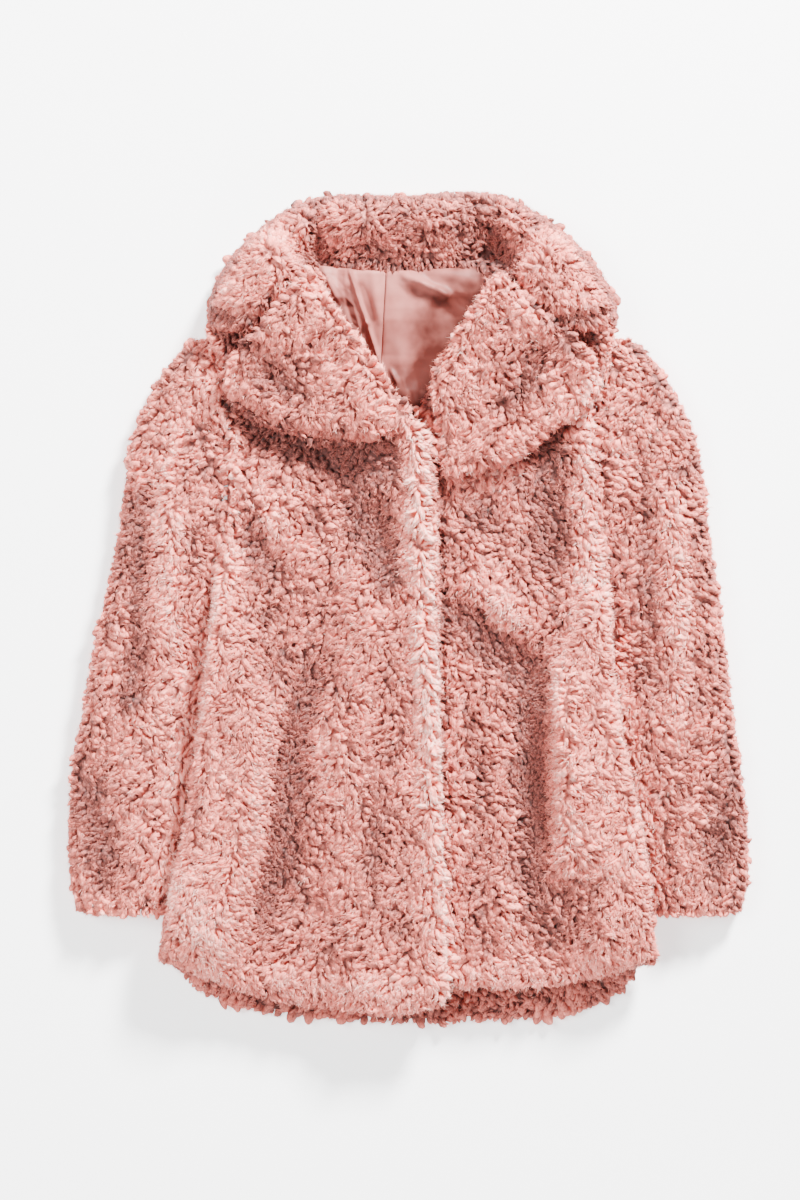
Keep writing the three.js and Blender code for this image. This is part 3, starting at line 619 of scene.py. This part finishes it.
def lock_mesh(name, at, normal, lean, depth, length, width, taper, curl, tone_and_shade):
    """One mesh of curved locks, petals or pointed tufts. Each leans along the skin as it rises."""
    count = len(at)
    side = np.cross(normal, lean)
    steps = RING_AT + [1.0]
    spine = []
    for s in steps:
        rise = depth * (LOCK_ARCH * math.sin(math.pi * s * ARCH_TURN))
        run = length * s**RUN_CURVE
        sway = curl * math.sin(math.pi * s)
        spine.append(at + normal * (rise - depth)[:, None] + lean * run[:, None] + side * sway[:, None])
    spine = np.array(spine)
    turn = rng.uniform(0, math.pi, count)
    twist = rng.normal(0, LOCK_TWIST, count)
    rings = []
    for k, s in enumerate(RING_AT):
        forward = unit(spine[k + 1] - spine[max(0, k - 1)])
        flat = unit(side - forward * np.einsum("ij,ij->i", side, forward)[:, None])
        up = np.cross(flat, forward)
        angle = LOCK_ROLL * np.sin(turn) + twist * s * TWIST_ALONG
        across = flat * np.cos(angle)[:, None] + up * np.sin(angle)[:, None]
        through = up * np.cos(angle)[:, None] - flat * np.sin(angle)[:, None]
        share = PETAL_WIDTH[k] * (1 - taper) + TUFT_WIDTH[k] * taper
        half_width = width * 0.5 * share
        half_depth = width * THICKNESS * share
        for q in range(RING_SIDES):
            a = math.pi / 2 + 2 * math.pi * q / RING_SIDES
            rings.append(
                spine[k]
                + across * (half_width * math.cos(a))[:, None]
                + through * (half_depth * math.sin(a))[:, None]
            )
    ring_points = np.stack(rings, 1)
    points = np.concatenate([ring_points, spine[-1][:, None, :]], 1)
    each = points.shape[1]
    quads, tips = [], []
    for k in range(len(RING_AT) - 1):
        for q in range(RING_SIDES):
            p, r = k * RING_SIDES + q, k * RING_SIDES + (q + 1) % RING_SIDES
            quads.append([p, r, r + RING_SIDES, p + RING_SIDES])
    last = (len(RING_AT) - 1) * RING_SIDES
    for q in range(RING_SIDES):
        tips.append([last + q, last + (q + 1) % RING_SIDES, each - 1])
    offsets = (np.arange(count) * each)[:, None, None]
    all_quads = (np.array(quads)[None] + offsets).reshape(-1, 4)
    all_tips = (np.array(tips)[None] + offsets).reshape(-1, 3)
    loops = np.concatenate([all_quads.ravel(), all_tips.ravel()])
    tip_starts = len(all_quads) * 4 + np.arange(len(all_tips)) * 3
    starts = np.concatenate([np.arange(len(all_quads)) * 4, tip_starts])
    mesh = mesh_of(name, points.reshape(-1, 3), loops, starts)
    smooth_faces(mesh)
    mesh.update(calc_edges=True)
    mesh.validate()
    quarter = np.tile(np.arange(RING_SIDES) / RING_SIDES, len(RING_AT))
    write_values(mesh, "along", np.tile(np.concatenate([np.repeat(RING_AT, RING_SIDES), [1.0]]), count))
    write_values(mesh, "around", np.tile(np.concatenate([quarter, [0.5]]), count))
    write_values(mesh, "tone_and_shade", np.repeat(tone_and_shade, each))
    return mesh


def wisp_mesh(name, at, normal, lean, length, tone_and_shade):
    """Single loose fibres, a thin triangle each, that stand off the locks' outer halves."""
    count = len(at) * WISPS
    at, normal, lean = (np.repeat(v, WISPS, 0) for v in (at, normal, lean))
    length, tone_and_shade = np.repeat(length, WISPS), np.repeat(tone_and_shade, WISPS)
    side = np.cross(normal, lean)
    spread = rng.normal(0, WISP_SPREAD, count)
    lift = rng.uniform(0.0, WISP_LIFT, count)
    heading = unit(
        lean * np.cos(spread)[:, None] + side * np.sin(spread)[:, None] + normal * lift[:, None]
    )
    start = at + lean * (length * rng.uniform(*WISP_FROM, count))[:, None]
    start = start + side * (rng.uniform(-WISP_ASIDE, WISP_ASIDE, count) * LOCK_WIDTH)[:, None]
    across = unit(np.cross(heading, rng.normal(0, 1, (count, 3))))
    reach = WISP_LENGTH * rng.uniform(*WISP_REACH, count)
    half = across * (WISP_WIDTH / 2)
    tip = start + heading * reach[:, None]
    points = np.stack([start - half, start + half, tip], 1).reshape(-1, 3)
    mesh = mesh_of(name, points, np.arange(count * 3), np.arange(0, count * 3, 3))
    mesh.update(calc_edges=True)
    mesh.validate()
    write_values(mesh, "along", np.tile([0.8, 0.8, 1.0], count))
    write_values(mesh, "around", np.full(count * 3, 0.4))
    write_values(mesh, "tone_and_shade", np.repeat(tone_and_shade + WISP_TONE, 3))
    return mesh


def lock_places(skin, coat_tree, relief):
    """Where a piece's locks grow, which of them are on its underside, and how near they are to its edge."""
    at, normal = surface_samples(skin, LOCK_SPACING)
    under = (normal[:, 2] < UNDERSIDE) & (at[:, 2] < UNDERSIDE_LEVEL)
    edge = eased(np.hypot(normal[:, 0], normal[:, 1]), *SIDE_ON)
    spacing = np.where(under, UNDERSIDE_SPACING, LOCK_SPACING)
    spacing = spacing * (1 - EDGE_CROWDING * edge) * (1 - RIDGE_CROWDING * eased(relief.at(at), *ON_RIDGE))
    kept = thinned(at, spacing)
    kept = kept[open_share(at[kept], normal[kept], coat_tree)]
    return at[kept], normal[kept], under[kept], edge[kept]


def lock_ways(node, at, normal, edge, combed, neck, relief):
    """Which way each lock lies: towards the hem in random swirls, and outwards over the edges."""
    turn = SWIRL_TURN * patchy(at, SWIRL, 3) + LITTLE_TURN * patchy(at, LITTLE_SWIRL, 4)
    swing = turn + rng.normal(0, OWN_TURN, len(at))
    level = np.zeros(len(at))
    hang = np.stack([np.sin(swing) + OUTWARD_HANG * np.sign(at[:, 0]), -np.cos(swing), level], 1)
    if node == "collar":
        hang = hang * COLLAR_HANG + unit((at - COLLAR_CENTRE) * [1, 1, 0]) * COLLAR_OUTWARD
        hang = hang * (1 - neck)[:, None] + NECK_HANG * neck[:, None]
    hang = hang + np.column_stack([relief.downhill(at), level]) * (COMB_PULL * combed)[:, None]
    flat_on = unit(along_skin(hang, normal))
    over = unit(along_skin(normal * [1, 1, 0], normal))
    lean = unit(flat_on * (1 - EDGE_COMB * edge)[:, None] + over * edge[:, None])
    return unit(along_skin(lean, normal))


def lock_tones_and_shading(node, at, edge, closed, rise, pressed, bridged):
    """How pale each lock is: painted shade darkens it in a trough or a crease, and painted light makes it
    paler on a ridge, over a gap or at an edge.
    """
    # Random tone, painted rim light at the edges, and paler closed patches
    tone_and_shade = rng.normal(TONE_MIDDLE, TONE_SPREAD, len(at)) + EDGE_PAINTED_LIGHT * edge + CLOSED_TONE * closed
    tone_and_shade = tone_and_shade + PIECES[node]["tone_and_shade"]
    # Painted shade in the relief's troughs, less over bridged gaps, and painted light on its ridges
    trough = (TROUGH_PAINTED_SHADE * rise - TROUGH_SHADE_CURVE * rise**2) * np.maximum(1 - bridged, 0)
    tone_and_shade = tone_and_shade + np.where(rise > 0, RIDGE_PAINTED_LIGHT * rise, trough)
    # Painted light on a crease's ridge and painted shade in its trough, and painted light over bridged gaps
    tone_and_shade = tone_and_shade + np.where(pressed > 0, RAISED_PAINTED_LIGHT, PRESSED_PAINTED_SHADE) * pressed + BRIDGED_PAINTED_LIGHT * bridged
    if node == "collar":
        from_ends, from_top = STAND_BLEND
        stand = soft((NECK_HALF - np.abs(at[:, 0])) / from_ends) * soft((STAND_TOP - at[:, 1]) / from_top)
        tone_and_shade = tone_and_shade + STAND_TONE * stand
    return np.clip(tone_and_shade, 0, 1)


def changed(shares, **amounts):
    """1, and what each amount adds to it."""
    total = 1
    for name, amount in amounts.items():
        total = total + shares[name] * amount
    return total


def fur_for(node, skin, coat_tree, skin_tree, relief):
    """The locks and the loose fibres of one cut piece, on every side of it that shows."""
    at, normal, under, edge = lock_places(skin, coat_tree, relief)
    count = len(at)
    is_lapel = node.startswith("lapel")
    rise = relief.at(at) * (BACK_RELIEF if node == "back" else 1)
    opened = np.maximum(-rise, 0)
    combed = eased(rise, *ON_RIDGE) * (1 - edge)
    closed = CLOSED_SHARE * patchy(at, PATCH, 5) + CLOSED_SHARE * patchy(at, LITTLE_PATCH, 6)
    x, y = at[:, 0] / MM, at[:, 1] / MM
    # The creases' heights, for the painted light and shade on the locks
    pressed = np.clip(creases_at(CREASES, x, y), *CREASE_RANGE) * eased(normal[:, 2], *UPWARD_PILE)
    # Where the locks are longer and painted lighter across gaps
    bridged = np.clip(creases_at(BRIDGES, x, y), 0, BRIDGE_FULL) * ~under
    neck = np.zeros(count)
    if node == "collar":
        neck = soft((NECKLINE - at[:, 1]) / NECK_FRINGE) * (np.abs(at[:, 0]) < NECK_HALF)
    fringe = neck * np.clip(1 - (at[:, 0] / NECK_HALF) ** 2, 0, 1)
    lean = lock_ways(node, at, normal, edge, combed, neck, relief)

    depth = pile_depths(at, normal, skin_tree)
    depth = np.where(under, np.minimum(depth, UNDERSIDE_PILE), depth)
    size = rng.uniform(*SIZE_RANGE, count) * np.where(under, UNDERSIDE_SIZE, 1) * (1 + CLOSED_SIZE * closed)
    if is_lapel:
        size = size * LAPEL_LOCKS
    length = LOCK_LENGTH * size * changed(LONGER, edge=edge, combed=combed, bridged=bridged, neck=fringe)
    width = LOCK_WIDTH * size * changed(WIDER, edge=edge, opened=opened, combed=combed, closed=closed)
    curl = rng.normal(0, LOCK_SWAY, count)
    reach = depth * (rng.uniform(*RISE_RANGE, count) + CLOSED_RISE * closed) + EDGE_RISE * edge
    if is_lapel:
        reach = reach + LAPEL_LOFT * rng.random(count)
    tone_and_shade = lock_tones_and_shading(node, at, edge, closed, rise, pressed, bridged)
    base = at - normal * (depth * LOCK_ROOT)[:, None]
    taper = np.clip(rng.normal(*TAPER, count) + EDGE_TAPER * edge + COMBED_TAPER * combed, 0, 1)
    mesh = lock_mesh("fur_" + node, base, normal, lean, reach, length, width, taper, curl, tone_and_shade)
    top = ~under
    wisps = wisp_mesh("wisps_" + node, at[top], normal[top], lean[top], length[top], tone_and_shade[top])
    return mesh, wisps


# Materials


def new_material(name, finish):
    material = bpy.data.materials.new(name)
    material.use_nodes = True
    nodes, links = material.node_tree.nodes, material.node_tree.links
    shader = nodes["Principled BSDF"]
    for label, value in finish.items():
        shader.inputs[label].default_value = value
    return material, nodes, links, shader


def srgb(r, g, b):
    """A colour from the usual 0 to 255 numbers."""
    return tuple(((c / 255 + 0.055) / 1.055) ** 2.4 if c > 10 else c / 255 / 12.92 for c in (r, g, b))


def paint(nodes, links, value, stops, shader):
    """Gives the shader its colour, from a ramp over the value."""
    node = nodes.new("ShaderNodeValToRGB")
    elements = node.color_ramp.elements
    while len(elements) < len(stops):
        elements.new(0.5)
    for element, (position, colour) in zip(elements, stops):
        element.position = position
        element.color = (*srgb(*colour), 1)
    links.new(value, node.inputs["Fac"])
    links.new(node.outputs["Color"], shader.inputs["Base Color"])


def math_node(nodes, links, operation, first, second):
    node = nodes.new("ShaderNodeMath")
    node.operation = operation
    for socket, value in zip(node.inputs, (first, second)):
        if isinstance(value, (int, float)):
            socket.default_value = value
        else:
            links.new(value, socket)
    return node.outputs[0]


def attribute(nodes, name):
    node = nodes.new("ShaderNodeAttribute")
    node.attribute_name = name
    return node.outputs["Fac"]


def noise(nodes, links, place, scale, detail):
    node = nodes.new("ShaderNodeTexNoise")
    node.inputs["Scale"].default_value = scale
    node.inputs["Detail"].default_value = detail
    links.new(place, node.inputs["Vector"])
    return node


def bumped(nodes, links, height, strength, distance, other=None):
    """The normal that a height gives, on top of another bump's normal where there is one."""
    node = nodes.new("ShaderNodeBump")
    node.inputs["Strength"].default_value = strength
    node.inputs["Distance"].default_value = distance
    links.new(height, node.inputs["Height"])
    if other is not None:
        links.new(other, node.inputs["Normal"])
    return node.outputs["Normal"]


def fur_material():
    material, nodes, links, shader = new_material("curly_pile", PILE_FINISH)
    along, around, tone_and_shade = (attribute(nodes, n) for n in ("along", "around", "tone_and_shade"))
    strand = nodes.new("ShaderNodeCombineXYZ")
    for socket, value, stretch in zip(strand.inputs, (around, along, tone_and_shade), STRAND_STRETCH):
        links.new(math_node(nodes, links, "MULTIPLY", value, stretch), socket)
    fibres = noise(nodes, links, strand.outputs[0], 2.6, 3.0)
    fibres.inputs["Roughness"].default_value = 0.62
    position = nodes.new("ShaderNodeNewGeometry").outputs["Position"]
    patches = noise(nodes, links, position, 26.0, 2.0)
    # Painted shade: darker towards each lock's root, deep in the pile
    total = math_node(nodes, links, "MULTIPLY", along, ROOT_SHADE_SHARE)
    # The fibres' streaks, partly a painted sheen
    streaks_and_sheen, spots = fibres.outputs["Fac"], patches.outputs["Fac"]
    for value, share in ((streaks_and_sheen, FIBRE_SHEEN_SHARE), (spots, PATCH_SHARE), (tone_and_shade, TONE_SHARE)):
        total = math_node(nodes, links, "ADD", total, math_node(nodes, links, "MULTIPLY", value, share))
    total = math_node(nodes, links, "SUBTRACT", total, PILE_DARKNESS)
    paint(nodes, links, total, PILE_COLOURS, shader)
    links.new(bumped(nodes, links, streaks_and_sheen, 0.55, 1.2 * MM), shader.inputs["Normal"])
    return material


def backing_material():
    material, nodes, links, shader = new_material("backing", BACKING_FINISH)
    position = nodes.new("ShaderNodeNewGeometry").outputs["Position"]
    clumps = nodes.new("ShaderNodeTexVoronoi")
    clumps.inputs["Scale"].default_value = 190.0
    links.new(position, clumps.inputs["Vector"])
    grain = math_node(nodes, links, "MULTIPLY", noise(nodes, links, position, 900.0, 3.0).outputs["Fac"], 0.7)
    away = math_node(nodes, links, "MULTIPLY", clumps.outputs["Distance"], 1.3)
    total = math_node(nodes, links, "SUBTRACT", grain, away)
    # Painted shade and light: the backing is darker in the relief's troughs and paler on its ridges
    opened = math_node(nodes, links, "MULTIPLY", attribute(nodes, "rise"), 0.32)
    total = math_node(nodes, links, "ADD", total, opened)
    total = math_node(nodes, links, "ADD", total, 0.72)
    paint(nodes, links, total, BACKING_COLOURS, shader)
    links.new(bumped(nodes, links, total, 0.9, 2 * MM), shader.inputs["Normal"])
    return material


def satin_material():
    material, nodes, links, shader = new_material("satin_lining", SATIN_FINISH)
    position = nodes.new("ShaderNodeNewGeometry").outputs["Position"]
    weave = noise(nodes, links, position, 1500.0, 1.0).outputs["Fac"]
    ripple = noise(nodes, links, position, 38.0, 2.5).outputs["Fac"]
    # Painted shade: the satin is darker under the left lapel and in its fold troughs
    painted_shade = math_node(nodes, links, "MULTIPLY", attribute(nodes, "shade"), SHADE_STRENGTH)
    paint(nodes, links, math_node(nodes, links, "SUBTRACT", ripple, painted_shade), SATIN_COLOURS, shader)
    woven = bumped(nodes, links, weave, 0.12, 0.2 * MM)
    links.new(bumped(nodes, links, ripple, 0.25, 2 * MM, woven), shader.inputs["Normal"])
    return material


# Pieces


def shell_for(node, skin, skin_tree, coat_tree, relief, backing, satin):
    """The backing cloth under the pile, with the lining on the side that faces into the coat."""
    mesh = skin.copy()
    mesh.name = node + "_shell"
    points, normals = read_points(mesh), read_normals(mesh)
    depth = pile_depths(points, normals, skin_tree)
    write_points(mesh, points - normals * depth[:, None])
    shell = new_piece(node + "_shell", mesh, backing, satin)
    smooth_faces(mesh)
    centres = np.array([p.center[:] for p in skin.polygons])
    facing = np.array([p.normal[:] for p in skin.polygons])
    inside = ~open_share(centres, facing, coat_tree)
    mesh.polygons.foreach_set("material_index", inside.astype(np.int32))
    # Painted shade and light on the backing: darker in the relief's troughs, paler on its ridges and over
    # bridged gaps
    bridged = np.clip(creases_at(BRIDGES, points[:, 0] / MM, points[:, 1] / MM), 0, 1)
    write_values(mesh, "rise", relief.at(points) * (1 - bridged) + 0.5 * bridged)
    return shell


def lining_piece(node, satin):
    """The satin over the back, with its folds and the centre back seam drawn in, and shade painted into its
    colour under the left lapel and in its fold troughs.
    """
    mesh = refined_copy(node, 5)
    points = read_points(mesh)
    x, y = points[:, 0] / MM, points[:, 1] / MM
    (x0, y0), (x1, y1) = CENTRE_SEAM
    seam_x = x0 + (x1 - x0) * (y - y0) / (y1 - y0)
    dip = SEAM_DEPTH * np.exp(-(((x - seam_x) / SEAM_WIDTH) ** 2))
    folds = creases_at(LINING_CREASES, x, y)
    points[:, 2] += (np.maximum(folds, LINING_DEEPEST) - dip + LINING_RAISE) * MM
    tucked = eased(points[:, 1], LINING_TOP, TUCK_BLEND)
    points[:, 1] += tucked * TUCK
    points[:, 2] -= tucked * TUCK
    write_points(mesh, points)
    # A painted shadow of the left lapel, darkest along the line
    (x0, y0), (x1, y1) = SHADE_EDGE
    away = ((x0 - x) * (y0 - y1) - (y0 - y) * (x0 - x1)) / math.hypot(x0 - x1, y0 - y1)
    reach = np.interp(y, (y1, y0), SHADE_REACH)
    painted_lapel_shadow = PAINTED_LAPEL_SHADOW * soft(1 - away / reach)
    # Painted shade in the folds' troughs
    painted_shade = np.clip(-folds / FOLD_SHADE_FULL, 0, 1)
    write_values(mesh, "shade", np.clip(PAINTED_FOLD_SHADE * painted_shade + painted_lapel_shadow, 0, DARKEST_SHADE))
    piece = new_piece(node + "_satin", mesh, satin)
    smooth_faces(mesh)
    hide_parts(node)


def dress_coat():
    pile, backing, satin = fur_material(), backing_material(), satin_material()
    skins = {node: skin_of(node) for node in PIECES}
    linings = {node: refined_copy(node, 0) for node in LININGS}
    vertices, faces = [], []
    for mesh in (*skins.values(), *linings.values()):
        start = len(vertices)
        vertices.extend(v.co[:] for v in mesh.vertices)
        faces.extend([start + i for i in p.vertices] for p in mesh.polygons)
    coat_tree = BVHTree.FromPolygons(vertices, faces)
    relief = Relief(coat_tree, *CAD_BOX)
    for node, spec in PIECES.items():
        skin = skins[node]
        skin_tree = tree_of(skin)
        shell = shell_for(node, skin, skin_tree, coat_tree, relief, backing, satin)
        mesh, wisp = fur_for(node, skin, coat_tree, skin_tree, relief)
        fur = new_piece("fur_" + node, mesh, pile)
        wisps = new_piece("wisps_" + node, wisp, pile)
        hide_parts(node)
    for node in LININGS:
        lining_piece(node, satin)
    for mesh in (*skins.values(), *linings.values()):
        bpy.data.meshes.remove(mesh)


# Stage


def area_light(name, place, size, power):
    """A square light that faces the coat."""
    data = bpy.data.lights.new(name, "AREA")
    data.shape = "SQUARE"
    data.size = size
    data.energy = power
    light = bpy.data.objects.new(name, data)
    light.location = place
    light.rotation_euler = (-Vector(place)).to_track_quat("-Z", "Y").to_euler()
    bpy.context.scene.collection.objects.link(light)


def studio():
    mesh = bpy.data.meshes.new("floor")
    reach = FLOOR_REACH
    corners = [(-reach, -reach), (reach, -reach), (reach, reach), (-reach, reach)]
    mesh.from_pydata([(x, y, FLOOR_LEVEL) for x, y in corners], [], [(0, 1, 2, 3)])
    floor = bpy.data.objects.new("floor", mesh)
    bpy.context.scene.collection.objects.link(floor)
    mesh.materials.append(new_material("pale_floor", FLOOR_FINISH)[0])

    world = bpy.data.worlds.new("studio")
    world.use_nodes = True
    world.node_tree.nodes["Background"].inputs["Color"].default_value = WHITE
    world.node_tree.nodes["Background"].inputs["Strength"].default_value = WORLD_STRENGTH
    bpy.context.scene.world = world
    for name, light in LIGHTS.items():
        area_light(name, **light)

    camera_data = bpy.data.cameras.new("camera")
    camera_data.lens = LENS_MM
    camera_data.sensor_fit = "VERTICAL"
    camera_data.sensor_height = SENSOR_MM
    camera = bpy.data.objects.new("camera", camera_data)
    camera.location = (CAMERA_X, CAMERA_Y, CAMERA_LEVEL + VIEW_HEIGHT * LENS_MM / SENSOR_MM)
    bpy.context.scene.collection.objects.link(camera)
    bpy.context.scene.camera = camera


studio()
dress_coat()
